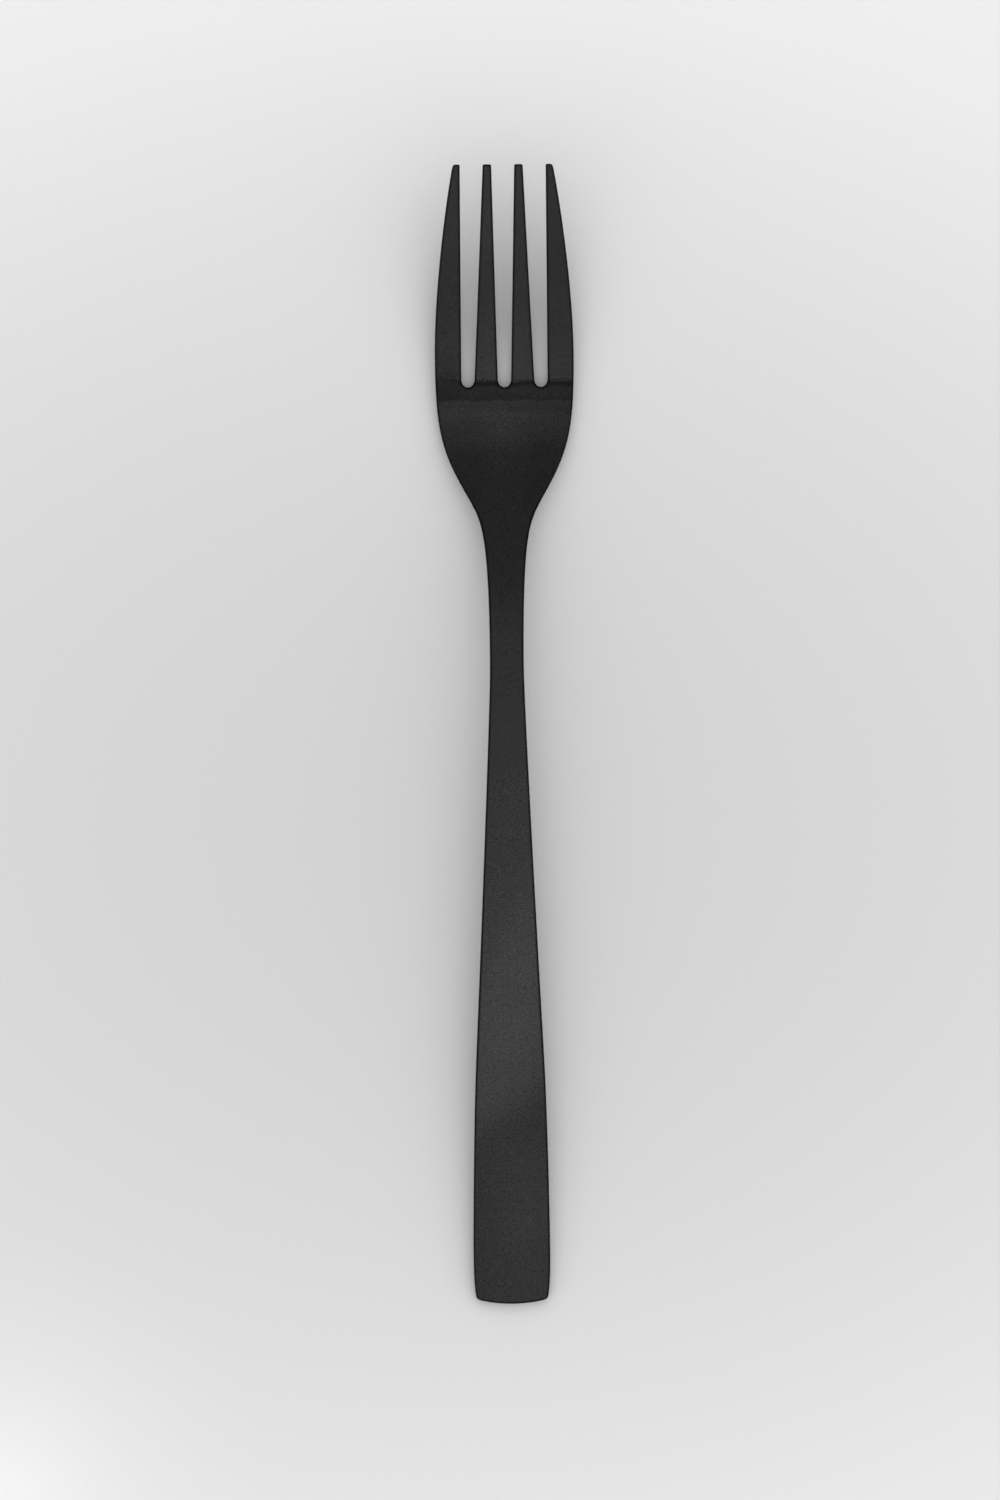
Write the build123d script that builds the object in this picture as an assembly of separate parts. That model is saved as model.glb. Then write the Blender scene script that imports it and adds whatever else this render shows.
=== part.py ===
from build123d import *
import math
import os

# Dinner fork pressed from one strip of steel. Millimetres, +Y toward the tine tips, +Z up, table at Z = 0.

# Lengths along the fork, seen from above
FORK_LENGTH = 205.0
TINE_LENGTH = 40.0
WIDEST_BEFORE_ROOTS = 5.9
SHOULDER_BEHIND_ROOTS = 19.9
NECK_BEHIND_SHOULDER = 30.4
EASE_BEFORE_END = 45.1
HANDLE_WIDEST_BEFORE_END = 8.3

# Widths, seen from above
HEAD_WIDTH = 25.04
SHOULDER_WIDTH = 13.46
NECK_WIDTH = 6.12
HANDLE_WIDTH = 13.84
EASE_DRAW_IN = 0.82
END_DRAW_IN = 0.53
END_BULGE = 0.8

# Tines and the slots between them
OUTER_TIP_WIDTH = 1.24
INNER_TIP_WIDTH = 1.46
INNER_ROOT_WIDTH = 4.29
SLOT_MOUTH_WIDTH = 4.2
SLOT_ROOT_WIDTH = 2.31
SLOT_ROOT_FLAT = 0.16

# Slants of the side edges at the tips, the shoulder, the handle's taper and the end, in degrees
TIP_SLANT = 10.9
SHOULDER_SLANT = 29.7
TAPER_SLANT = 2.9
END_SLANT = 13.2

# How far each side curve holds its direction from the point where it starts or ends
TIP_HOLD = 8.5
WIDEST_HOLD_FRONT = 10.5
WIDEST_HOLD_BACK = 14.9
SHOULDER_HOLD_FRONT = 7.8
SHOULDER_HOLD_BACK = 3.7
NECK_HOLD_FRONT = 26.0
NECK_HOLD_BACK = 5.8
EASE_HOLD_FRONT = 20.1
EASE_HOLD_BACK = 9.5
HANDLE_HOLD_FRONT = 9.2
HANDLE_HOLD_BACK = 3.5
END_HOLD = 1.8

# Side curve of the upper face: places along the fork, heights over the table, and slopes in degrees
TINE_BEND_FROM_TIPS = 22.0
HEEL_BEHIND_ROOTS = 6.0
RISE_BEHIND_HEEL = 17.0
NECK_TOP_BEHIND_HEEL = 33.0
CREST_BEHIND_HEEL = 54.0
HANDLE_BEND_BEFORE_END = 55.0
TIP_HEIGHT = 15.5
TINE_BEND_HEIGHT = 6.8
RISE_HEIGHT = 5.5
NECK_TOP_HEIGHT = 9.2
CREST_HEIGHT = 10.5
HANDLE_BEND_HEIGHT = 8.4
TIP_RISE = 23.5
END_FALL = 7.5

# Thickness of the metal
TIP_THICKNESS = 1.3
ROOT_THICKNESS = 1.9
HEEL_THICKNESS = 2.2
NECK_THICKNESS = 3.0
END_THICKNESS = 2.1

# Hollow across the head and crown across the handle
CUP_DEPTH = 0.6
CUP_FADE_BEHIND_HEEL = 6.0
CUP_FADE_LENGTH = 28.0
CROWN_HEIGHT = 0.12

# Eased corners seen from above, rounded edges, and the largest shares of a wall or corner that they take
TIP_CORNER = 0.4
END_CORNER = 0.7
EDGE_ROUND = 0.25
WALL_SHARE = 0.33
CORNER_SHARE = 0.65

# Depth worn off where it stands on the table, under the heel and under the handle's end
HEEL_FLAT_DEPTH = 0.08
END_FLAT_DEPTH = 0.06

# How far the pressing faces run past the outline, how closely they are followed, and how near a corner lies
OVERRUN = 4.0
ROWS = 84
COLUMNS = 9
FOLLOW = 0.002
CORNER_REACH = 0.01

# Places along the fork, as distances back from the tips
root_at = TINE_LENGTH
widest_at = root_at - WIDEST_BEFORE_ROOTS
shoulder_at = root_at + SHOULDER_BEHIND_ROOTS
neck_at = shoulder_at + NECK_BEHIND_SHOULDER
ease_at = FORK_LENGTH - EASE_BEFORE_END
handle_widest_at = FORK_LENGTH - HANDLE_WIDEST_BEFORE_END
end_corner_at = FORK_LENGTH - END_BULGE
heel_at = root_at + HEEL_BEHIND_ROOTS
rise_at = heel_at + RISE_BEHIND_HEEL
neck_top_at = heel_at + NECK_TOP_BEHIND_HEEL
crest_at = heel_at + CREST_BEHIND_HEEL
handle_bend_at = FORK_LENGTH - HANDLE_BEND_BEFORE_END

# Widths that follow from the tines and the handle
slot_mouth_pitch = SLOT_MOUTH_WIDTH + INNER_TIP_WIDTH
slot_root_pitch = SLOT_ROOT_WIDTH + INNER_ROOT_WIDTH
tip_spread = 2 * slot_mouth_pitch + SLOT_MOUTH_WIDTH + 2 * OUTER_TIP_WIDTH
ease_width = HANDLE_WIDTH - 2 * EASE_DRAW_IN
end_width = HANDLE_WIDTH - 2 * END_DRAW_IN

# Roundings: the slot's bottom is round but for a short flat, and the rest is what the tine tips can take
root_round = (SLOT_ROOT_WIDTH - SLOT_ROOT_FLAT) / 2
tip_corner = min(TIP_CORNER, WALL_SHARE * OUTER_TIP_WIDTH, WALL_SHARE * INNER_TIP_WIDTH)
edge_round = min(EDGE_ROUND, WALL_SHARE * TIP_THICKNESS, CORNER_SHARE * tip_corner)


def along(distance):
    return FORK_LENGTH / 2 - distance


def side_edges(turn):
    # One side of the outline, from the tips to the handle's end; turn is 1 on the right and -1 on the left

    def place(width, distance):
        return Vector(turn * width / 2, along(distance))

    def held(point, slant, hold):
        # A point farther back along a side edge that widens by the slant toward the handle
        return point + Vector(turn * hold * math.tan(math.radians(slant)), -hold)

    tip = place(tip_spread, 0)
    widest = place(HEAD_WIDTH, widest_at)
    shoulder = place(SHOULDER_WIDTH, shoulder_at)
    neck = place(NECK_WIDTH, neck_at)
    ease = place(ease_width, ease_at)
    broad = place(HANDLE_WIDTH, handle_widest_at)
    end = place(end_width, end_corner_at)
    return [
        Bezier(tip, held(tip, TIP_SLANT, TIP_HOLD), held(widest, 0, -WIDEST_HOLD_FRONT), widest),
        Bezier(widest, held(widest, 0, WIDEST_HOLD_BACK),
               held(shoulder, -SHOULDER_SLANT, -SHOULDER_HOLD_FRONT), shoulder),
        Bezier(shoulder, held(shoulder, -SHOULDER_SLANT, SHOULDER_HOLD_BACK),
               held(neck, 0, -NECK_HOLD_FRONT), neck),
        Bezier(neck, held(neck, 0, NECK_HOLD_BACK), held(ease, TAPER_SLANT, -EASE_HOLD_FRONT), ease),
        Bezier(ease, held(ease, TAPER_SLANT, EASE_HOLD_BACK), held(broad, 0, -HANDLE_HOLD_FRONT), broad),
        Bezier(broad, held(broad, 0, HANDLE_HOLD_BACK), held(end, -END_SLANT, -END_HOLD), end),
    ]


def front_points():
    # Corners along the front, from the left tip to the right one: into each tapered slot and out again
    points = [Vector(-tip_spread / 2, along(0))]
    for side in (-1, 0, 1):
        mouth = Vector(side * slot_mouth_pitch, along(0))
        bottom = Vector(side * slot_root_pitch, along(root_at))
        half_mouth = Vector(SLOT_MOUTH_WIDTH / 2, 0)
        half_bottom = Vector(SLOT_ROOT_WIDTH / 2, 0)
        points += [mouth - half_mouth, bottom - half_bottom, bottom + half_bottom, mouth + half_mouth]
    return points + [Vector(tip_spread / 2, along(0))]


def blank():
    # The flat blank with sharp corners: sides, end and slotted front
    end_y = along(end_corner_at)
    end_line = ThreePointArc((-end_width / 2, end_y), (0, along(FORK_LENGTH)), (end_width / 2, end_y))
    points = front_points()
    front = [Line(near, far) for near, far in zip(points, points[1:])]
    return make_face(side_edges(1) + side_edges(-1) + [end_line] + front)


def eased(share):
    # Smooth step from 0 to 1 that starts and ends level and unbent
    share = min(max(share, 0), 1)
    return share ** 3 * (10 - 15 * share + 6 * share ** 2)


def stepped(places, values, distance):
    # Eased run through values at places along the fork
    result = values[0]
    for near, far, low, high in zip(places, places[1:], values, values[1:]):
        result += (high - low) * eased((distance - near) / (far - near))
    return result


def thickness_at(distance):
    places = [0, root_at, heel_at, neck_at, FORK_LENGTH]
    values = [TIP_THICKNESS, ROOT_THICKNESS, HEEL_THICKNESS, NECK_THICKNESS, END_THICKNESS]
    return stepped(places, values, distance)


def bend_across(distance, crown):
    # How the face curves across: hollow in the head, crowned on the handle
    cup = CUP_DEPTH / (HEAD_WIDTH / 2) ** 2
    hump = crown / (HANDLE_WIDTH / 2) ** 2
    fade_at = heel_at + CUP_FADE_BEHIND_HEEL
    return stepped([fade_at, fade_at + CUP_FADE_LENGTH], [cup, -hump], distance)


def side_curve():
    # The upper face seen from the side, as a curve in the YZ plane
    tip_climb = math.tan(math.radians(TIP_RISE))
    end_climb = math.tan(math.radians(END_FALL))
    end_stretch = 1 / math.cos(math.radians(END_FALL))
    end_lift = edge_round * (end_climb + end_stretch - 1)
    heel_height = HEEL_THICKNESS - HEEL_FLAT_DEPTH
    end_height = END_THICKNESS * end_stretch - end_lift - END_FLAT_DEPTH
    points = [
        (0, along(-OVERRUN), TIP_HEIGHT + OVERRUN * tip_climb),
        (0, along(0), TIP_HEIGHT),
        (0, along(TINE_BEND_FROM_TIPS), TINE_BEND_HEIGHT),
        (0, along(heel_at), heel_height),
        (0, along(rise_at), RISE_HEIGHT),
        (0, along(neck_top_at), NECK_TOP_HEIGHT),
        (0, along(crest_at), CREST_HEIGHT),
        (0, along(handle_bend_at), HANDLE_BEND_HEIGHT),
        (0, along(FORK_LENGTH), end_height),
        (0, along(FORK_LENGTH + OVERRUN), end_height - OVERRUN * end_climb),
    ]
    return Spline(*points, tangents=[(0, -1, -tip_climb), (0, -1, -end_climb)])


def pressed_face(curve, crown, lower):
    # One face of the pressing: the side curve, or its offset through the metal, bent across
    half = HEAD_WIDTH / 2 + OVERRUN
    grid = []
    for row in range(ROWS + 1):
        place = curve.position_at(row / ROWS)
        run = curve.tangent_at(row / ROWS)
        distance = along(0) - place.Y
        depth = thickness_at(distance) if lower else 0
        base = place + Vector(0, -run.Z, run.Y) * depth
        across = bend_across(distance, crown)
        line = []
        for column in range(COLUMNS):
            x = half * (2 * column / (COLUMNS - 1) - 1)
            line.append(base + Vector(x, 0, across * x ** 2))
        grid.append(line)
    return Face.make_surface_from_array_of_points(grid, tol=FOLLOW, min_deg=3, max_deg=3)


def round_corners(solid, distance, radius):
    # Rounds the upright corners at a place along the fork
    uprights = solid.edges().filter_by(Axis.Z)
    low = along(distance) - CORNER_REACH
    high = along(distance) + CORNER_REACH
    return solid.fillet(radius, uprights.filter_by_position(Axis.Y, low, high))


def fork():
    # The blank pressed between the two faces, corners and edges rounded, and worn flat where it stands
    curve = side_curve()
    upper = pressed_face(curve, CROWN_HEIGHT, False)
    under = pressed_face(curve, 0, True)
    reach = FORK_LENGTH
    prism = extrude(Pos(0, 0, -reach / 2) * blank(), reach)
    body = prism & extrude(upper, reach, dir=(0, 0, -1)) & extrude(under, reach, dir=(0, 0, 1))
    solid = round_corners(body.solids()[0], root_at, root_round)
    solid = round_corners(solid, 0, tip_corner)
    solid = round_corners(solid, end_corner_at, END_CORNER)
    pressed = solid.faces().sort_by(SortBy.AREA)[-2:]
    rims = [edge for face in pressed for edge in face.edges()]
    solid = solid.fillet(edge_round, rims)
    table = Pos(0, 0, -reach / 2) * Box(reach, 2 * reach, reach)
    return (solid - table).solids()[0]


os.makedirs("parts", exist_ok=True)
result = fork()
export_step(result, "parts/fork.step")
print("fork", round(result.volume), "cubic millimetres")
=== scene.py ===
# %% [markdown]
# # A black dinner fork
# This lesson dresses a dinner fork that was pressed from one strip of steel and coated black.
# The CAD model is loaded first and stays as the fixed frame: it says where the fork lies and how big it is.
# Lengths of the fork are in millimetres and are turned into Blender's metres where they are used.
# The studio around it is laid out in metres.

# %% Load the frame
import math
from collections import namedtuple

import bmesh
import bpy
import numpy as np
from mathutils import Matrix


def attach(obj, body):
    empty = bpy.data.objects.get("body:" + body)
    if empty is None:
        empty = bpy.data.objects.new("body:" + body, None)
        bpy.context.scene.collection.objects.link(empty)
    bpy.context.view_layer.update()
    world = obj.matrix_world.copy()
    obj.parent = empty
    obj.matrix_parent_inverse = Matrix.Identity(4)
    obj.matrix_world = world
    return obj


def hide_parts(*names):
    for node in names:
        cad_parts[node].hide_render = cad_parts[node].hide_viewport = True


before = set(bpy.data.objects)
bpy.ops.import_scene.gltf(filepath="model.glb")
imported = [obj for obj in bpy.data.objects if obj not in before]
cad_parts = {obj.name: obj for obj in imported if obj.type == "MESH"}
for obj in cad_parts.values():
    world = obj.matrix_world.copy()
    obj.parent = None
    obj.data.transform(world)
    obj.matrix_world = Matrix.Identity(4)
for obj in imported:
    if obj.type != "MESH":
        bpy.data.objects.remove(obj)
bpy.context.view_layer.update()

MM = 0.001

# %% [markdown]
# ## The fork seen from above
# A cutlery maker first punches a flat blank, and everything seen from above is settled in that blank.
# Its side edge is drawn as six Bezier runs from the tine tips to the handle's end.
# A run holds its direction for a given length at both of its ends, as a draughtsman's spline does,
# so a few widths and slants give the whole edge without a long list of points.

# %% Side edge
LENGTH = 205.0
TIP_SPREAD = 18.0
HEAD_HALF, HEAD_PLACE = 12.52, 34.1
NECK_HALF, NECK_PLACE = 3.06, 90.3
HANDLE_HALF, HANDLE_PLACE = 6.92, 196.7
HALVINGS = 40

# Half width, distance from the tips, slant toward the handle in degrees, hold before and hold behind
SidePoint = namedtuple("SidePoint", "half place slant before behind")
SIDE = [
    SidePoint(TIP_SPREAD / 2, 0.0, 10.9, 0.0, 8.5),
    SidePoint(HEAD_HALF, HEAD_PLACE, 0.0, 10.5, 14.9),
    SidePoint(6.73, 59.9, -29.7, 7.8, 3.7),
    SidePoint(NECK_HALF, NECK_PLACE, 0.0, 26.0, 5.8),
    SidePoint(6.10, 159.9, 2.9, 20.1, 9.5),
    SidePoint(HANDLE_HALF, HANDLE_PLACE, 0.0, 9.2, 3.5),
    SidePoint(6.39, 204.2, -13.2, 1.8, 0.0),
]


def bezier(points, share):
    rest = 1 - share
    a, b, c, d = points
    return a * rest ** 3 + 3 * b * rest ** 2 * share + 3 * c * rest * share ** 2 + d * share ** 3


def half_width(distance):
    """Half the fork's width at a distance from the tips; the place on the run is found by halving."""
    for near, far in zip(SIDE, SIDE[1:]):
        if distance <= far.place:
            break
    out, back = math.tan(math.radians(near.slant)), math.tan(math.radians(far.slant))
    widths = (near.half, near.half + near.behind * out, far.half - far.before * back, far.half)
    places = (near.place, near.place + near.behind, far.place - far.before, far.place)
    low, high = 0.0, 1.0
    for _ in range(HALVINGS):
        middle = (low + high) / 2
        if bezier(places, middle) < distance:
            low = middle
        else:
            high = middle
    return bezier(widths, (low + high) / 2)


print("widths at tips, head, neck, handle:",
      [round(2 * half_width(place), 2) for place in (0, HEAD_PLACE, NECK_PLACE, HANDLE_PLACE)])

# %% [markdown]
# ## Slots and tines
# Three tapered slots leave four tines. A slot is given by its width and its distance from the next slot,
# both at the mouth and at the root, and a tine is what is left between two slots or beside one.
# The outer corners of the outer tines are eased over the last fraction of a millimetre, as polishing does.

# %% Slots and tines
TINE_LENGTH = 40.0
SLOT_MOUTH, SLOT_ROOT = 4.1, 2.31
SLOT_MOUTH_PITCH, SLOT_ROOT_PITCH = 5.66, 6.6
TIP_CORNER, TIP_INSET = 0.4, 0.2
SLOTS = (-1, 0, 1)
TINES = range(4)


def slot_sides(side, distance):
    """Left and right edge of a slot; side is -1, 0 or 1."""
    share = distance / TINE_LENGTH
    middle = side * (SLOT_MOUTH_PITCH + (SLOT_ROOT_PITCH - SLOT_MOUTH_PITCH) * share)
    half = (SLOT_MOUTH + (SLOT_ROOT - SLOT_MOUTH) * share) / 2
    return middle - half, middle + half


def tine_sides(tine, distance):
    """Left and right edge of one of the four tines, counted from the left."""
    corner = TIP_INSET * max(1 - distance / TIP_CORNER, 0) ** 2
    edges = [corner - half_width(distance)]
    for side in SLOTS:
        edges += slot_sides(side, distance)
    edges.append(half_width(distance) - corner)
    return edges[2 * tine], edges[2 * tine + 1]


tip_sides = [tine_sides(tine, 0) for tine in TINES]
print("tine widths at the tips:", [round(right - left, 2) for left, right in tip_sides])

# %% [markdown]
# ## The fork seen from the side
# The press bends the blank: the tines rise to their tips, the heel is the lowest place,
# the neck arches and the handle falls gently to its end.
# A smooth curve through a few heights gives the upper face. Solving for equal bend on both sides of each
# point keeps the curve free of kinks, and that matters because a dark satin face shows every kink.
# One more point beyond each end carries the slope there straight on.

# %% Heights along the fork
TIP_HEIGHT, TIP_RISE = 15.48, 23.5
END_HEIGHT, END_FALL = 2.05, 7.0
TIP_CLIMB, END_CLIMB = math.tan(math.radians(TIP_RISE)), math.tan(math.radians(END_FALL))
HEEL_PLACE, CREST_PLACE = 46.0, 100.0
RUN_OUT = 4.0

# Distance from the tips and height of the upper face
PROFILE = [
    (-RUN_OUT, TIP_HEIGHT + RUN_OUT * TIP_CLIMB), (0.0, TIP_HEIGHT), (22.0, 6.8), (42.0, 2.14),
    (48.0, 2.06), (63.0, 5.5), (79.0, 9.2), (CREST_PLACE, 10.5), (144.0, 8.81), (160.0, 7.46),
    (172.0, 6.25), (184.0, 4.75), (195.0, 3.3), (LENGTH, END_HEIGHT),
    (LENGTH + RUN_OUT, END_HEIGHT - RUN_OUT * END_CLIMB),
]
PLACES, HEIGHTS = zip(*PROFILE)


def smooth_slopes(places, heights, first, last):
    """Slopes at the places that make a cubic run with no jump in its bend."""
    count = len(places)
    grid, right = np.eye(count), np.zeros(count)
    right[0], right[-1] = first, last
    for i in range(1, count - 1):
        before, after = places[i] - places[i - 1], places[i + 1] - places[i]
        grid[i, i - 1:i + 2] = after, 2 * (before + after), before
        right[i] = 3 * (after * (heights[i] - heights[i - 1]) / before
                        + before * (heights[i + 1] - heights[i]) / after)
    return np.linalg.solve(grid, right)


SLOPES = smooth_slopes(PLACES, HEIGHTS, -TIP_CLIMB, -END_CLIMB)


def side_height(distance):
    """Height of the upper face along the middle, and its slope."""
    i = min(max(np.searchsorted(PLACES, distance) - 1, 0), len(PLACES) - 2)
    step = PLACES[i + 1] - PLACES[i]
    t = (distance - PLACES[i]) / step
    low, high = HEIGHTS[i], HEIGHTS[i + 1]
    a, b = SLOPES[i] * step, SLOPES[i + 1] * step
    rise = high - low
    height = low + t * (a + t * (3 * rise - 2 * a - b + t * (a + b - 2 * rise)))
    slope = (a + 2 * t * (3 * rise - 2 * a - b) + 3 * t * t * (a + b - 2 * rise)) / step
    return height, slope


print("heel", round(side_height(HEEL_PLACE)[0], 2), "crest", round(side_height(CREST_PLACE)[0], 2),
      "slope at the end in degrees", round(math.degrees(math.atan(side_height(LENGTH)[1])), 2))

# %% [markdown]
# ## Hollow, crown and thickness
# Across its width the head is a shallow hollow and the handle a faint crown; one fades into the other along
# the neck. Where the tine press ended, a low step crosses the head at the tine roots.
# The strip is thinnest at the tips and thickest at the neck, where a fork would bend first.
# All this is kept as functions of place, so that the blank can be pressed by them later.

# %% Upper and under face
CUP_DEPTH, CROWN = 0.6, 0.12
CUP_FADES_FROM, CUP_FADES_TO = 52.0, 80.0
STEP_DEPTH, STEP_FROM, STEP_TO, STEP_FADE = 0.14, 38.55, 38.85, 26.0

# Distance from the tips and thickness
GAUGE = [(0.0, 1.3), (TINE_LENGTH, 1.9), (HEEL_PLACE, 2.2), (NECK_PLACE, 3.0), (LENGTH, 2.1)]


def eased(share):
    """Goes from 0 to 1 with level, unbent ends."""
    share = min(max(share, 0.0), 1.0)
    return share ** 3 * (10 - 15 * share + 6 * share ** 2)


def thickness(distance):
    result = GAUGE[0][1]
    for (near, low), (far, high) in zip(GAUGE, GAUGE[1:]):
        result += (high - low) * eased((distance - near) / (far - near))
    return result


def upper_face(x, distance):
    """Height of the upper face: hollow across the head, crowned across the handle."""
    fade = eased((distance - CUP_FADES_FROM) / (CUP_FADES_TO - CUP_FADES_FROM))
    across = CUP_DEPTH / HEAD_HALF ** 2 * (1 - fade) - CROWN / HANDLE_HALF ** 2 * fade
    return side_height(distance)[0] + across * x * x


def tine_step(distance):
    """How far the tines' upper face lies below the palm's, where the tine press ended."""
    behind = eased((distance - STEP_FROM) / (STEP_TO - STEP_FROM))
    return STEP_DEPTH * (1 - behind) * eased(distance / STEP_FADE)


def under_face(x, distance):
    """Height of the under face, never below the table."""
    slope = side_height(distance)[1]
    return max(upper_face(x, distance) - thickness(distance) * math.sqrt(1 + slope * slope), 0.0)


print("thickness at tips, heel, neck, end:",
      [round(thickness(place), 2) for place in (0, HEEL_PLACE, NECK_PLACE, LENGTH)])

# %% [markdown]
# ## The blank
# The blank starts as one small plane at the left of the head, just behind the tines.
# Extruding its right edge nineteen times makes a strip across the head: two columns for each tine and four
# for each slot, because a round slot bottom needs a few points.
# A filled curve would be quicker to draw, but rows of four-sided faces that follow the fork's length
# give the calm, unbroken reflections that polished cutlery has.

# %% Helpers for the blank
SAME_PLACE = 1e-6


def along(distance):
    """Blender's Y, in metres, at a distance from the tips."""
    return (LENGTH / 2 - distance) * MM


def is_at(value, goal):
    return abs(value - goal) < SAME_PLACE


def open_mesh(mesh_object):
    """The mesh in edit mode, with nothing selected."""
    mesh = bmesh.from_edit_mesh(mesh_object.data)
    for part in (*mesh.verts, *mesh.edges, *mesh.faces):
        part.select = False
    return mesh


def select_edges(mesh_object, test):
    """Selects the edges whose two ends pass the test, and nothing else."""
    mesh = open_mesh(mesh_object)
    found = [edge for edge in mesh.edges if all(test(v.co) for v in edge.verts)]
    for edge in found:
        edge.select_set(True)
    bmesh.update_edit_mesh(mesh_object.data)
    return len(found)


def extrude(x, y, z=0.0):
    bpy.ops.mesh.extrude_region_move(TRANSFORM_OT_translate={"value": (x, y, z)})


def resize_width(factor, middle=0.0):
    bpy.ops.transform.resize(value=(factor, 1, 1), center_override=(middle, 0, 0))


print("the tips lie at Y =", along(0), "m and the end at", along(LENGTH), "m")

# %% Strip across the head
SLOT_RADIUS = SLOT_ROOT / 2
FRONT_ROW = TINE_LENGTH - SLOT_RADIUS
STRIP_BACK = 42.0
TINE_COLUMNS, SLOT_COLUMNS = 2, 4


def split(left, right, count):
    return [left + (right - left) * i / count for i in range(count)]


def column_lines():
    """Where the sides of the columns lie across the head."""
    found = []
    for tine in TINES:
        found += split(*tine_sides(tine, FRONT_ROW), TINE_COLUMNS)
        if tine < len(SLOTS):
            found += split(*slot_sides(SLOTS[tine], FRONT_ROW), SLOT_COLUMNS)
    return found + [half_width(FRONT_ROW)]


bpy.ops.object.select_all(action="DESELECT")
bpy.ops.mesh.primitive_plane_add(size=1)
body = bpy.context.active_object
body.name = "fork_body"
lines = column_lines()
strip_depth = (STRIP_BACK - FRONT_ROW) * MM
first_middle = (lines[0] + lines[1]) / 2 * MM
bpy.ops.object.mode_set(mode="EDIT")
bpy.ops.mesh.select_mode(type="EDGE")
bpy.ops.transform.resize(value=((lines[1] - lines[0]) * MM, strip_depth, 1))
bpy.ops.transform.translate(value=(first_middle, along(FRONT_ROW) - strip_depth / 2, 0))
select_edges(body, lambda co: is_at(co.x, lines[1] * MM))
for left, right in zip(lines[1:], lines[2:]):
    extrude((right - left) * MM, 0)
print("columns across the head", len(lines) - 1)

# %% [markdown]
# ## Rows of the handle
# From the strip the handle is extruded backward row by row, and every row is scaled to the width that the
# side edge has there. Rows lie close together where the outline turns, and wide apart on the long handle.

# %% Rows back to the handle's end
HEAD_ROWS = [STRIP_BACK, 42.6, 43.4, 44.6, 46.2, 48.2, 50.4, 52.8, 55.2]
NECK_STEP, NECK_ROWS_TO = 2.4, 98.0
HANDLE_STEP, HANDLE_ROWS_TO = 4.8, 190.0
END_ROWS = [196.0, 199.4, 201.8, 203.4, SIDE[-1].place]
rows = list(HEAD_ROWS)
while rows[-1] < NECK_ROWS_TO:
    rows.append(rows[-1] + NECK_STEP)
while rows[-1] < HANDLE_ROWS_TO:
    rows.append(rows[-1] + HANDLE_STEP)
rows += END_ROWS

found = select_edges(body, lambda co: is_at(co.y, along(STRIP_BACK)))
resize_width(half_width(STRIP_BACK) / half_width(FRONT_ROW))
for near, far in zip(rows, rows[1:]):
    extrude(0, along(far) - along(near))
    resize_width(half_width(far) / half_width(near))
print("edges extruded", found, "rows", len(rows))

# %% [markdown]
# ## Rows of the tines
# Each tine is extruded forward from its own two front edges. A tine leans toward the middle as it narrows,
# so each row is moved sideways too and then scaled about its own middle.

# %% Tines forward to the tips
TINE_ROWS = [
    FRONT_ROW, STEP_FROM, 38.1, 37.2, 35.2, 32.4, 29.6, 26.6, 23.6, 20.6,
    17.6, 14.6, 11.6, 8.6, 5.8, 3.2, 1.3, 0.35, 0.0,
]
EDGE_SLACK = 0.01
for tine in TINES:
    left, right = tine_sides(tine, FRONT_ROW)
    select_edges(body, lambda co: is_at(co.y, along(FRONT_ROW))
                 and (left - EDGE_SLACK) * MM < co.x < (right + EDGE_SLACK) * MM)
    for near, far in zip(TINE_ROWS, TINE_ROWS[1:]):
        old, new = tine_sides(tine, near), tine_sides(tine, far)
        extrude((sum(new) - sum(old)) / 2 * MM, along(far) - along(near))
        resize_width((new[1] - new[0]) / (old[1] - old[0]), sum(new) / 2 * MM)
print("rows in each tine", len(TINE_ROWS) - 1)

# %% [markdown]
# ## Round slot bottoms and the bowed end
# The three inner points of each slot's front edge are pushed back onto an arc.
# Subdivision pulls a ring of eight points in by a tenth, so the arc is drawn that much larger.
# The end of the handle bows out by less than a millimetre. Its points are moved one at a time, and the rows
# before it share the bow, so that they stay evenly spaced.

# %% Arcs at the slots and the end
ARC_SWELL = 1.108
ARC_SHARES = (-0.5, 0.0, 0.5)
END_BULGE = 0.8


def move_points(mesh_object, test, x, y):
    mesh = open_mesh(mesh_object)
    for v in mesh.verts:
        v.select = test(v.co)
    bmesh.update_edit_mesh(mesh_object.data)
    bpy.ops.transform.translate(value=(x, y, 0))


bpy.ops.mesh.select_mode(type="VERT")
for side in SLOTS:
    left, right = slot_sides(side, FRONT_ROW)
    middle, half = (left + right) / 2, (right - left) / 2
    for share in ARC_SHARES:
        x = (middle + share * half) * MM
        angle = share * math.pi / 2
        goal_x = (middle + ARC_SWELL * SLOT_RADIUS * math.sin(angle)) * MM
        back = ARC_SWELL * SLOT_RADIUS * math.cos(angle) * MM
        move_points(body, lambda co: is_at(co.x, x) and is_at(co.y, along(FRONT_ROW)), goal_x - x, -back)
for row in END_ROWS[1:]:
    reach = half_width(row) * MM
    bow = END_BULGE * MM * (row - END_ROWS[0]) / (END_ROWS[-1] - END_ROWS[0])
    for line in lines[1:-1]:
        x = line / lines[-1] * reach
        move_points(body, lambda co: is_at(co.x, x) and is_at(co.y, along(row)),
                    0, -bow * (1 - (x / reach) ** 2))
print("slot radius", SLOT_RADIUS, "end bulge", END_BULGE)

# %% [markdown]
# ## Press the blank
# An inset ring inside the outline keeps the later edge rounding narrow. The sheet is then extruded down to a
# plate, and the plate is pressed: a vertex group holds how far the two dies lift each point,
# and one Displace modifier moves every point by that weight. This is how the real blank gets its bends.

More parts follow.
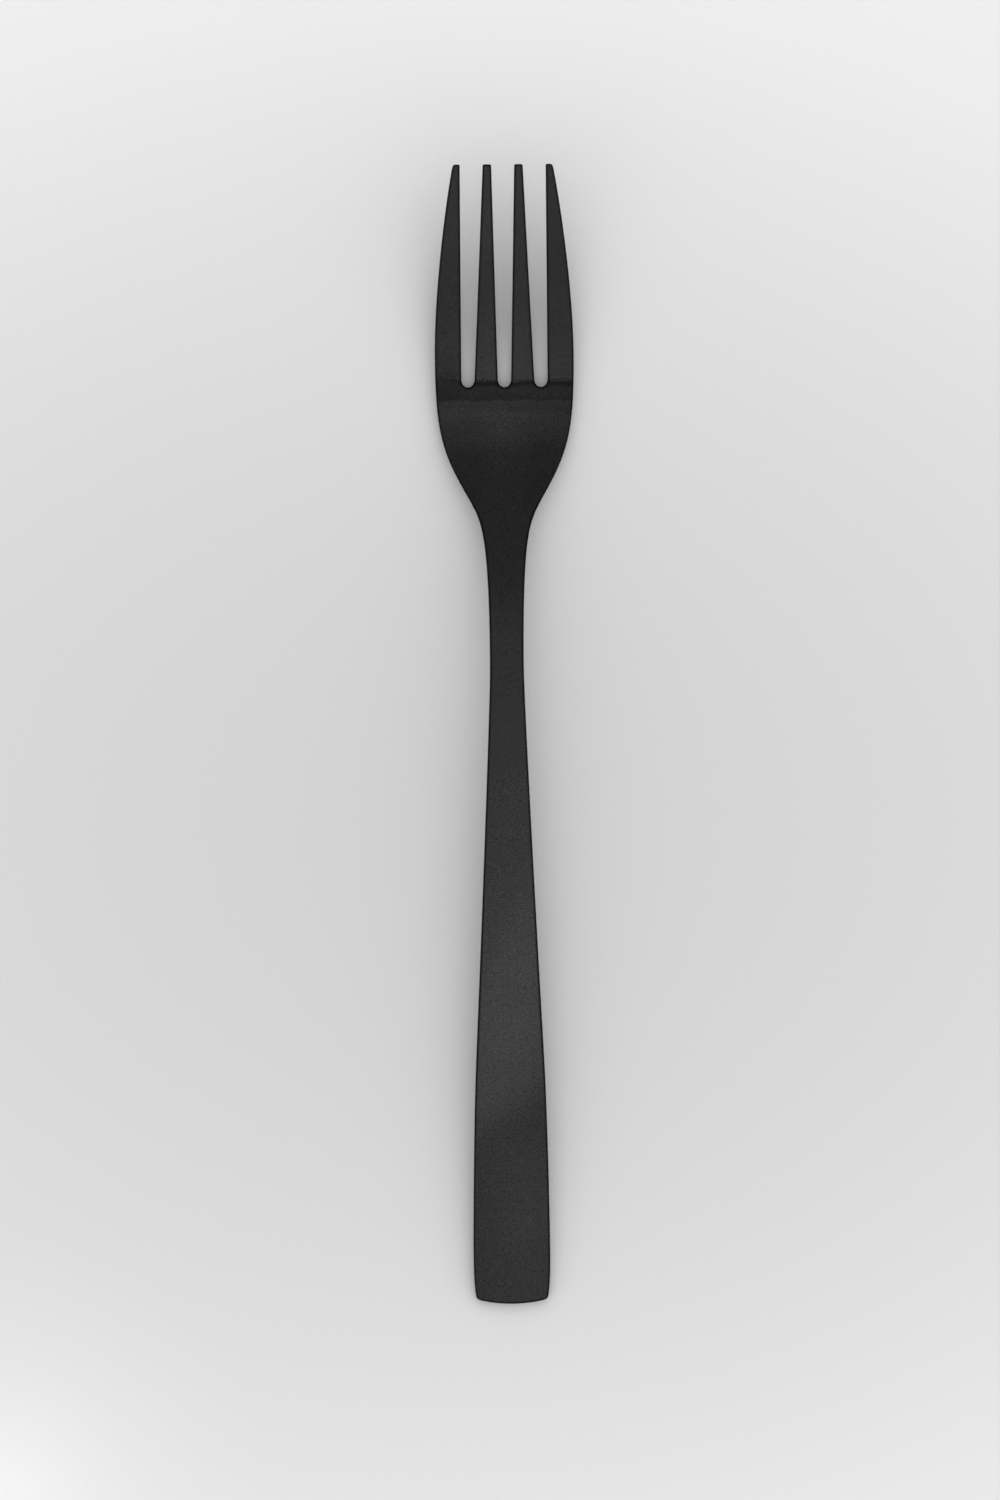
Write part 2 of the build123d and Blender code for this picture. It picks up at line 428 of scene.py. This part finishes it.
# %% Ring, plate and pressing
RING = 0.45
PLATE = 4.0
PRESS_TRAVEL = 24.0
bpy.ops.mesh.select_mode(type="FACE")
bpy.ops.mesh.select_all(action="SELECT")
bpy.ops.mesh.inset(thickness=RING * MM, use_boundary=True, use_even_offset=True, use_relative_offset=False)
bpy.ops.mesh.select_all(action="SELECT")
extrude(0, 0, -PLATE * MM)
bpy.ops.mesh.select_all(action="SELECT")
bpy.ops.mesh.normals_make_consistent(inside=False)
bpy.ops.object.mode_set(mode="OBJECT")

pressing = body.vertex_groups.new(name="pressing")
for point in body.data.vertices:
    x, distance = point.co.x / MM, LENGTH / 2 - point.co.y / MM
    if point.co.z > -PLATE / 2 * MM:
        lift = upper_face(x, distance) - tine_step(distance)
    else:
        lift = under_face(x, distance) + PLATE
    pressing.add([point.index], lift / PRESS_TRAVEL, "REPLACE")
press = body.modifiers.new("press", "DISPLACE")
press.direction = "Z"
press.mid_level = 0.0
press.strength = PRESS_TRAVEL * MM
press.vertex_group = pressing.name
bpy.ops.object.modifier_apply(modifier=press.name)
print("plate faces", len(body.data.polygons))

# %% [markdown]
# ## Round the edges and smooth the steel
# The rims where the faces meet the walls get a small bevel, then a Subdivision Surface turns the rows
# into a smooth skin. The walls stand upright, so the rims are the edges between a flat face and a wall.

# %% Bevel and subdivide
EDGE_ROUND = 0.25
ROUND_STEPS, ROUND_PROFILE = 2, 0.5
FLAT_FROM, UPRIGHT_TO = 0.7, 0.3
SMOOTHING = 2
bpy.ops.object.mode_set(mode="EDIT")
bpy.ops.mesh.select_mode(type="EDGE")
mesh = open_mesh(body)
mesh.normal_update()
for edge in mesh.edges:
    tilts = [abs(face.normal.z) for face in edge.link_faces]
    if len(tilts) == 2 and max(tilts) > FLAT_FROM and min(tilts) < UPRIGHT_TO:
        edge.select_set(True)
bmesh.update_edit_mesh(body.data)
bpy.ops.mesh.bevel(offset=EDGE_ROUND * MM, segments=ROUND_STEPS, profile=ROUND_PROFILE,
                   affect="EDGES", clamp_overlap=False)
bpy.ops.object.mode_set(mode="OBJECT")
skin = body.modifiers.new("skin", "SUBSURF")
skin.levels = SMOOTHING
skin.render_levels = SMOOTHING
bpy.ops.object.modifier_apply(modifier=skin.name)
bpy.ops.object.shade_smooth()
body.vertex_groups.clear()
print("fork mesh", len(body.data.vertices), "points", len(body.data.polygons), "faces")

# %% [markdown]
# ## Black coating
# The steel is coated in a thin black layer that keeps the satin polish under it.
# Its reflection is weak and slightly blurred, so the base colour of a metal shader sets how strong it is.
# Three effects break it up: a fine grain with a soft cloud, a duller band across the tine roots at the press
# step whose darker colour is painted reflection, and rounded edges painted darker as painted shade.
# The grain comes first. It is two noises at very different scales, kept in a node group of its own.

# %% Grain group
GRAIN_SCALE, CLOUD_SCALE = 4200.0, 90.0
NOISE_DETAIL = 2.0


def new_group(name, inputs, outputs):
    group = bpy.data.node_groups.new(name, "ShaderNodeTree")
    for label, value in inputs:
        socket = group.interface.new_socket(label, in_out="INPUT", socket_type="NodeSocketFloat")
        socket.default_value = value
    for label in outputs:
        group.interface.new_socket(label, in_out="OUTPUT", socket_type="NodeSocketFloat")
    return group, group.nodes.new("NodeGroupInput"), group.nodes.new("NodeGroupOutput")


def satin_grain():
    """Fine grain and soft clouds, both from 0 to 1."""
    scales = [("Grain Scale", GRAIN_SCALE), ("Cloud Scale", CLOUD_SCALE)]
    group, given, result = new_group("satin_grain", scales, ["Grain", "Cloud"])
    place = group.nodes.new("ShaderNodeTexCoord")
    for label in ("Grain", "Cloud"):
        noise = group.nodes.new("ShaderNodeTexNoise")
        noise.inputs["Detail"].default_value = NOISE_DETAIL
        group.links.new(place.outputs["Object"], noise.inputs["Vector"])
        group.links.new(given.outputs[label + " Scale"], noise.inputs["Scale"])
        group.links.new(noise.outputs["Fac"], result.inputs[label])
    return group


grain_group = satin_grain()
print("group", grain_group.name)

# %% [markdown]
# The press band is a mask that runs across the head at the press step: it dulls the finish there, and its
# darker colour is painted reflection. A colour ramp over the distance from the tips draws its sharp front line,
# its even middle and its faint tail. A noise shifts the distance a little, so that the lines wander as tool
# marks do. On the left outer tine the painted band fades in softly, so a second ramp with a long front takes
# over there.

# %% Press band group
BAND_FROM, BAND_TO = 32.0, 46.0
BAND_WANDER, WANDER_SCALE = 1.0, 300.0
BAND_TAIL = [(42.3, 0.78), (42.6, 0.42), (43.6, 0.42), (45.0, 0.0)]
SHARP_BAND = [(38.8, 0.0), (39.15, 1.0), (39.6, 1.0), (40.1, 0.66), (41.0, 0.7)] + BAND_TAIL
SOFT_BAND = [(33.0, 0.0), (37.0, 0.3), (39.2, 0.7)] + BAND_TAIL
SOFT_SIDE_FROM, SOFT_SIDE_TO = -9.4, -7.6


def add_ramp(tree, value, low, high, stops):
    """A ramp of grey levels over the values from low to high."""
    scale = tree.nodes.new("ShaderNodeMapRange")
    scale.inputs["From Min"].default_value = low
    scale.inputs["From Max"].default_value = high
    tree.links.new(value, scale.inputs["Value"])
    ramp = tree.nodes.new("ShaderNodeValToRGB")
    tree.links.new(scale.outputs["Result"], ramp.inputs["Fac"])
    elements = ramp.color_ramp.elements
    for _ in stops[len(elements):]:
        elements.new(1.0)
    for element, (place, level) in zip(elements, stops):
        element.position = (place - low) / (high - low)
        element.color = (level, level, level, 1)
    return ramp.outputs["Color"]


def wandering_distance(group, place, axes):
    """The distance from the tips in millimetres, shifted a little by a noise."""
    distance = group.nodes.new("ShaderNodeMapRange")
    distance.clamp = False
    distance.inputs["From Min"].default_value = along(0)
    distance.inputs["From Max"].default_value = along(LENGTH)
    distance.inputs["To Max"].default_value = LENGTH
    group.links.new(axes.outputs["Y"], distance.inputs["Value"])
    noise = group.nodes.new("ShaderNodeTexNoise")
    noise.inputs["Scale"].default_value = WANDER_SCALE
    group.links.new(place.outputs["Object"], noise.inputs["Vector"])
    wander = group.nodes.new("ShaderNodeMapRange")
    wander.inputs["To Min"].default_value = -BAND_WANDER / 2
    wander.inputs["To Max"].default_value = BAND_WANDER / 2
    group.links.new(noise.outputs["Fac"], wander.inputs["Value"])
    uneven = group.nodes.new("ShaderNodeMath")
    group.links.new(distance.outputs["Result"], uneven.inputs[0])
    group.links.new(wander.outputs["Result"], uneven.inputs[1])
    return uneven.outputs["Value"]


# The band mask dulls the finish and paints the darker reflection across the tine roots.
def dull_and_shaded_press_band():
    group, _, result = new_group("dull_and_shaded_press_band", [], ["Band"])
    place = group.nodes.new("ShaderNodeTexCoord")
    axes = group.nodes.new("ShaderNodeSeparateXYZ")
    group.links.new(place.outputs["Object"], axes.inputs["Vector"])
    distance = wandering_distance(group, place, axes)
    sharp = add_ramp(group, distance, BAND_FROM, BAND_TO, SHARP_BAND)
    soft = add_ramp(group, distance, BAND_FROM, BAND_TO, SOFT_BAND)
    side = group.nodes.new("ShaderNodeMapRange")
    side.interpolation_type = "SMOOTHSTEP"
    side.inputs["From Min"].default_value = SOFT_SIDE_TO * MM
    side.inputs["From Max"].default_value = SOFT_SIDE_FROM * MM
    group.links.new(axes.outputs["X"], side.inputs["Value"])
    choose = group.nodes.new("ShaderNodeMix")
    group.links.new(side.outputs["Result"], choose.inputs["Factor"])
    group.links.new(sharp, choose.inputs["A"])
    group.links.new(soft, choose.inputs["B"])
    group.links.new(choose.outputs["Result"], result.inputs["Band"])
    return group


band_group = dull_and_shaded_press_band()
print("group", band_group.name)

# %% [markdown]
# Every rounded edge is painted darker, as painted shade for the dim reflection the rims show. A point's
# distance from the outline, seen from above, is worked out from the same sizes that shaped the blank, and
# stored on the mesh as an attribute for the material.
# Seen from above an upright wall lies on the outline all over, so the mask is weakened there; the walls would
# else be as dark as the rims.

# %% Rounded edges as an attribute
RIM_WIDTH = 0.58
WALL_RIM, WALL_TILT, FACE_TILT = 0.4, 0.1, 0.5
WIDTH_SAMPLES = 500
COUNTED_FROM = 0.5


def rim_share(x, distance):
    """1 at the outline and 0 farther in than the rim's width, for arrays of points."""
    grid = np.linspace(0, SIDE[-1].place, WIDTH_SAMPLES)
    half = np.interp(distance, grid, [half_width(d) for d in grid])
    gaps = [half - abs(x), distance, LENGTH - END_BULGE * (x / half) ** 2 - distance]
    for side in SLOTS:
        reach = np.minimum(distance, FRONT_ROW)
        left, right = slot_sides(side, reach)
        gaps.append(np.hypot(x - (left + right) / 2, distance - reach) - (right - left) / 2)
    inside = np.clip(np.min(gaps, axis=0) / RIM_WIDTH, 0, 1)
    return 1 - inside ** 2 * (3 - 2 * inside)


points = np.array([point.co for point in body.data.vertices]) / MM
tilts = np.abs([point.normal.z for point in body.data.vertices])
upright = WALL_RIM + (1 - WALL_RIM) * np.clip((tilts - WALL_TILT) / (FACE_TILT - WALL_TILT), 0, 1)
rim = body.data.attributes.new("rim", "FLOAT", "POINT")
rim.data.foreach_set("value", rim_share(points[:, 0], LENGTH / 2 - points[:, 1]) * upright)
print("points on rounded edges", sum(value.value > COUNTED_FROM for value in rim.data), "of", len(points))

# %% [markdown]
# The material joins the masks. Band and rim darken the base colour and blur the reflection, grain and cloud
# multiply the colour, and the grain also gives a bump so slight that it only breaks up the mirror image.

# %% Helpers for the material
coat = bpy.data.materials.new("black_steel_satin")
coat.use_nodes = True
nodes, links = coat.node_tree.nodes, coat.node_tree.links


def spread(value, low, high):
    """Maps a mask from 0 and 1 to two values."""
    node = nodes.new("ShaderNodeMapRange")
    node.inputs["To Min"].default_value = low
    node.inputs["To Max"].default_value = high
    links.new(value, node.inputs["Value"])
    return node.outputs["Result"]


def mix_colour(factor, first, second, way="MIX"):
    """Mixes two colours; each is a tuple or another node's output."""
    node = nodes.new("ShaderNodeMix")
    node.data_type = "RGBA"
    node.blend_type = way
    sockets = [socket for socket in node.inputs if socket.type == "RGBA"]
    for socket, value in zip(sockets, (first, second)):
        if isinstance(value, tuple):
            socket.default_value = value
        else:
            links.new(value, socket)
    if isinstance(factor, float):
        node.inputs["Factor"].default_value = factor
    else:
        links.new(factor, node.inputs["Factor"])
    return next(socket for socket in node.outputs if socket.type == "RGBA")


def mix_value(factor, first, second):
    node = nodes.new("ShaderNodeMix")
    links.new(factor, node.inputs["Factor"])
    links.new(first, node.inputs["A"])
    node.inputs["B"].default_value = second
    return node.outputs["Result"]


print("material", coat.name)

# %% Coating material
COAT_COLOUR = (0.028, 0.028, 0.0285, 1)
# Painted reflection: the band's darker colour stands in for the dark reflection across the tine roots.
BAND_DARK_REFLECTION_COLOUR = (0.0115, 0.0115, 0.0117, 1)
# Painted shade: the rounded edges are coloured darker for the dim reflection they show.
RIM_SHADE_COLOUR = (0.003, 0.003, 0.0031, 1)
GRAIN_TONES, CLOUD_TONES = (0.0, 2.0), (0.9, 1.1)
COAT_ROUGHNESS = (0.06, 0.11)
BAND_ROUGHNESS, RIM_ROUGHNESS = 0.36, 0.5
BUMP_STRENGTH, BUMP_HEIGHT = 0.025, 0.1
shader = nodes["Principled BSDF"]
shader.inputs["Metallic"].default_value = 1.0
grain = nodes.new("ShaderNodeGroup")
grain.node_tree = grain_group
band = nodes.new("ShaderNodeGroup")
band.node_tree = band_group
edge = nodes.new("ShaderNodeAttribute")
edge.attribute_name = "rim"

# The band's darker colour is painted reflection, and the rims' darker colour is painted shade.
tone = mix_colour(band.outputs["Band"], COAT_COLOUR, BAND_DARK_REFLECTION_COLOUR)
tone = mix_colour(edge.outputs["Fac"], tone, RIM_SHADE_COLOUR)
tone = mix_colour(1.0, tone, spread(grain.outputs["Grain"], *GRAIN_TONES), "MULTIPLY")
tone = mix_colour(1.0, tone, spread(grain.outputs["Cloud"], *CLOUD_TONES), "MULTIPLY")
links.new(tone, shader.inputs["Base Color"])
gloss = spread(grain.outputs["Grain"], *COAT_ROUGHNESS)
gloss = mix_value(band.outputs["Band"], gloss, BAND_ROUGHNESS)
gloss = mix_value(edge.outputs["Fac"], gloss, RIM_ROUGHNESS)
links.new(gloss, shader.inputs["Roughness"])
bump = nodes.new("ShaderNodeBump")
bump.inputs["Strength"].default_value = BUMP_STRENGTH
bump.inputs["Distance"].default_value = BUMP_HEIGHT * MM
links.new(grain.outputs["Grain"], bump.inputs["Height"])
links.new(bump.outputs["Normal"], shader.inputs["Normal"])
body.data.materials.clear()
body.data.materials.append(coat)
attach(body, "root")
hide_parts("fork")
print("nodes in the material", len(nodes))

# %% [markdown]
# ## Floor, light and camera
# The fork lies on a plain pale table. The table is lit a little more toward its edges, and that is drawn
# into its colour: a mapping squeezes the floor so that the square of the distance from its middle grows to
# about one at the picture's corners. A second ramp adds a faint glow around the lower left corner.
# The floor lies a hair below the fork, so that no two faces share a plane.

# %% Floor
FLOOR_SHADES = [
    (0.0, 0.645), (0.3, 0.702), (0.6, 0.762), (0.9, 0.82), (1.2, 0.85), (1.7, 0.868), (2.6, 0.872),
]
FLOOR_SIZE = 8
FLOOR_REACH = (0.20, 0.15)
FLOOR_SHIFT = (-0.012, -0.010)
FLOOR_GAP = 0.02
FLOOR_ROUGHNESS = 0.9
GLOW_PLACE = (-0.0925, -0.1370)
GLOW_SHADE = 0.93
GLOW_FADE = [
    (0.0, 1.0), (0.005, 0.9), (0.009, 0.69), (0.016, 0.43), (0.025, 0.2), (0.036, 0.08), (0.048, 0.0),
]
bpy.ops.object.select_all(action="DESELECT")
bpy.ops.mesh.primitive_plane_add(size=FLOOR_SIZE)
floor = bpy.context.active_object
floor.name = "floor"
floor.location.z = -FLOOR_GAP * MM
paper = bpy.data.materials.new("pale_table")
paper.use_nodes = True
tree = paper.node_tree
place = tree.nodes.new("ShaderNodeTexCoord")
squeeze = tree.nodes.new("ShaderNodeMapping")
squeeze.vector_type = "TEXTURE"
squeeze.inputs["Location"].default_value = (*FLOOR_SHIFT, 0)
squeeze.inputs["Scale"].default_value = (*FLOOR_REACH, 1)
tree.links.new(place.outputs["Object"], squeeze.inputs["Vector"])
square = tree.nodes.new("ShaderNodeVectorMath")
square.operation = "DOT_PRODUCT"
for socket in square.inputs[:2]:
    tree.links.new(squeeze.outputs["Vector"], socket)
shade = add_ramp(tree, square.outputs["Value"], FLOOR_SHADES[0][0], FLOOR_SHADES[-1][0], FLOOR_SHADES)
gap = tree.nodes.new("ShaderNodeVectorMath")
gap.operation = "DISTANCE"
gap.inputs[1].default_value = (*GLOW_PLACE, 0)
tree.links.new(place.outputs["Object"], gap.inputs[0])
glow = add_ramp(tree, gap.outputs["Value"], GLOW_FADE[0][0], GLOW_FADE[-1][0], GLOW_FADE)
blend = tree.nodes.new("ShaderNodeMix")
blend.inputs["B"].default_value = GLOW_SHADE
tree.links.new(glow, blend.inputs["Factor"])
tree.links.new(shade, blend.inputs["A"])
tree.links.new(blend.outputs["Result"], tree.nodes["Principled BSDF"].inputs["Base Color"])
tree.nodes["Principled BSDF"].inputs["Roughness"].default_value = FLOOR_ROUGHNESS
floor.data.materials.append(paper)
print("floor", tuple(floor.dimensions))

# %% [markdown]
# A dark satin face shows the studio like a blurred mirror, so the light is a whole sky and not one lamp.
# Two ramps make it: one along the fork, from the handle's side over the zenith to the tips' side, and one
# across, which makes the bright part a strip over the fork. The ramp along the fork has a bright panel a
# little behind the zenith; the handle mirrors it. Only that ramp is turned a few degrees, as the panel was.

# %% Studio sky
SKY_TOP = 2.0
SKY_TURN = -18.0
SKY_ALONG = [
    (-90, 1.0), (-60, 1.5), (-45, 1.32), (-40, 1.2), (-36, 1.12), (-28, 1.25), (-14.9, 1.42), (-14, 1.0),
    (-12.4, 1.0), (-11.7, 1.9), (-8.6, 1.95), (-7, 1.48), (-5, 1.3), (-2.6, 1.26), (0, 1.12),
    (3, 1.02), (12, 0.91), (20, 0.69), (30, 0.6), (40, 0.6), (60, 0.75), (90, 0.75),
]
SKY_ACROSS = [
    (0, 1.0), (2.2, 1.0), (3, 0.94), (4, 0.86), (9, 0.84), (14, 0.78), (25, 0.74), (45, 0.8), (90, 0.8),
]
world = bpy.data.worlds.new("studio")
bpy.context.scene.world = world
world.use_nodes = True
sky = world.node_tree
place = sky.nodes.new("ShaderNodeTexCoord")
turn = sky.nodes.new("ShaderNodeVectorRotate")
turn.rotation_type = "Z_AXIS"
turn.inputs["Angle"].default_value = math.radians(SKY_TURN)
axes = sky.nodes.new("ShaderNodeSeparateXYZ")
turned = sky.nodes.new("ShaderNodeSeparateXYZ")
sky.links.new(place.outputs["Generated"], axes.inputs["Vector"])
sky.links.new(place.outputs["Generated"], turn.inputs["Vector"])
sky.links.new(turn.outputs["Vector"], turned.inputs["Vector"])


def sky_ramp(side, stops, both_sides):
    """Brightness over the angle from the zenith toward one side."""
    lean = sky.nodes.new("ShaderNodeMath")
    lean.operation = "ARCTAN2"
    sky.links.new(side, lean.inputs[0])
    sky.links.new(axes.outputs["Z"], lean.inputs[1])
    angle = lean.outputs["Value"]
    if both_sides:
        size = sky.nodes.new("ShaderNodeMath")
        size.operation = "ABSOLUTE"
        sky.links.new(angle, size.inputs[0])
        angle = size.outputs["Value"]
    marks = [(math.radians(degrees), level / SKY_TOP) for degrees, level in stops]
    return add_ramp(sky, angle, marks[0][0], marks[-1][0], marks)


product = sky.nodes.new("ShaderNodeVectorMath")
product.operation = "MULTIPLY"
sky.links.new(sky_ramp(turned.outputs["Y"], SKY_ALONG, False), product.inputs[0])
sky.links.new(sky_ramp(axes.outputs["X"], SKY_ACROSS, True), product.inputs[1])
background = sky.nodes["Background"]
background.inputs["Strength"].default_value = SKY_TOP * SKY_TOP
sky.links.new(product.outputs["Vector"], background.inputs["Color"])
print("sky stops", len(SKY_ALONG), len(SKY_ACROSS))

# %% [markdown]
# A wide soft box above the tips' side lights the table. Its rays are kept out of glossy reflections, so it
# shapes the shadow and the steel still mirrors only the sky.

# %% Soft box
BOX_PLACE = (0.0, 0.5, 1.0)
BOX_SIZE = 1.2
BOX_LEVEL = 0.75
data = bpy.data.lights.new("soft_box", "AREA")
data.shape = "SQUARE"
data.size = BOX_SIZE
data.energy = BOX_LEVEL * math.pi * BOX_SIZE ** 2
lamp = bpy.data.objects.new("soft_box", data)
lamp.location = BOX_PLACE
lamp.rotation_euler = (-math.atan2(BOX_PLACE[1], BOX_PLACE[2]), 0, 0)
lamp.visible_camera = False
lamp.visible_glossy = False
bpy.context.scene.collection.objects.link(lamp)
print("light", lamp.name, round(data.energy, 2), "W")

# %% [markdown]
# The picture is taken straight from above and from far away with a long lens, so that the tips, which are
# nearer to the camera than the handle, aren't drawn larger. The camera is rolled by half a degree,
# because the fork lies a little askew in the frame.

# %% Camera
FRAME_HEIGHT = 0.270
CAMERA_HEIGHT = 10.0
AIM = (-0.00137, -0.0028)
ROLL = 0.49
SENSOR_HEIGHT = 24
FAR_CLIP = 100
data = bpy.data.cameras.new("camera")
camera = bpy.data.objects.new("camera", data)
data.sensor_fit = "VERTICAL"
data.sensor_height = SENSOR_HEIGHT
data.lens = data.sensor_height * CAMERA_HEIGHT / FRAME_HEIGHT
data.clip_end = FAR_CLIP
camera.location = (*AIM, CAMERA_HEIGHT)
camera.rotation_euler = (0, 0, math.radians(-ROLL))
bpy.context.scene.collection.objects.link(camera)
bpy.context.scene.camera = camera
bpy.context.scene.view_settings.view_transform = "Standard"
print("lens", round(data.lens, 1))
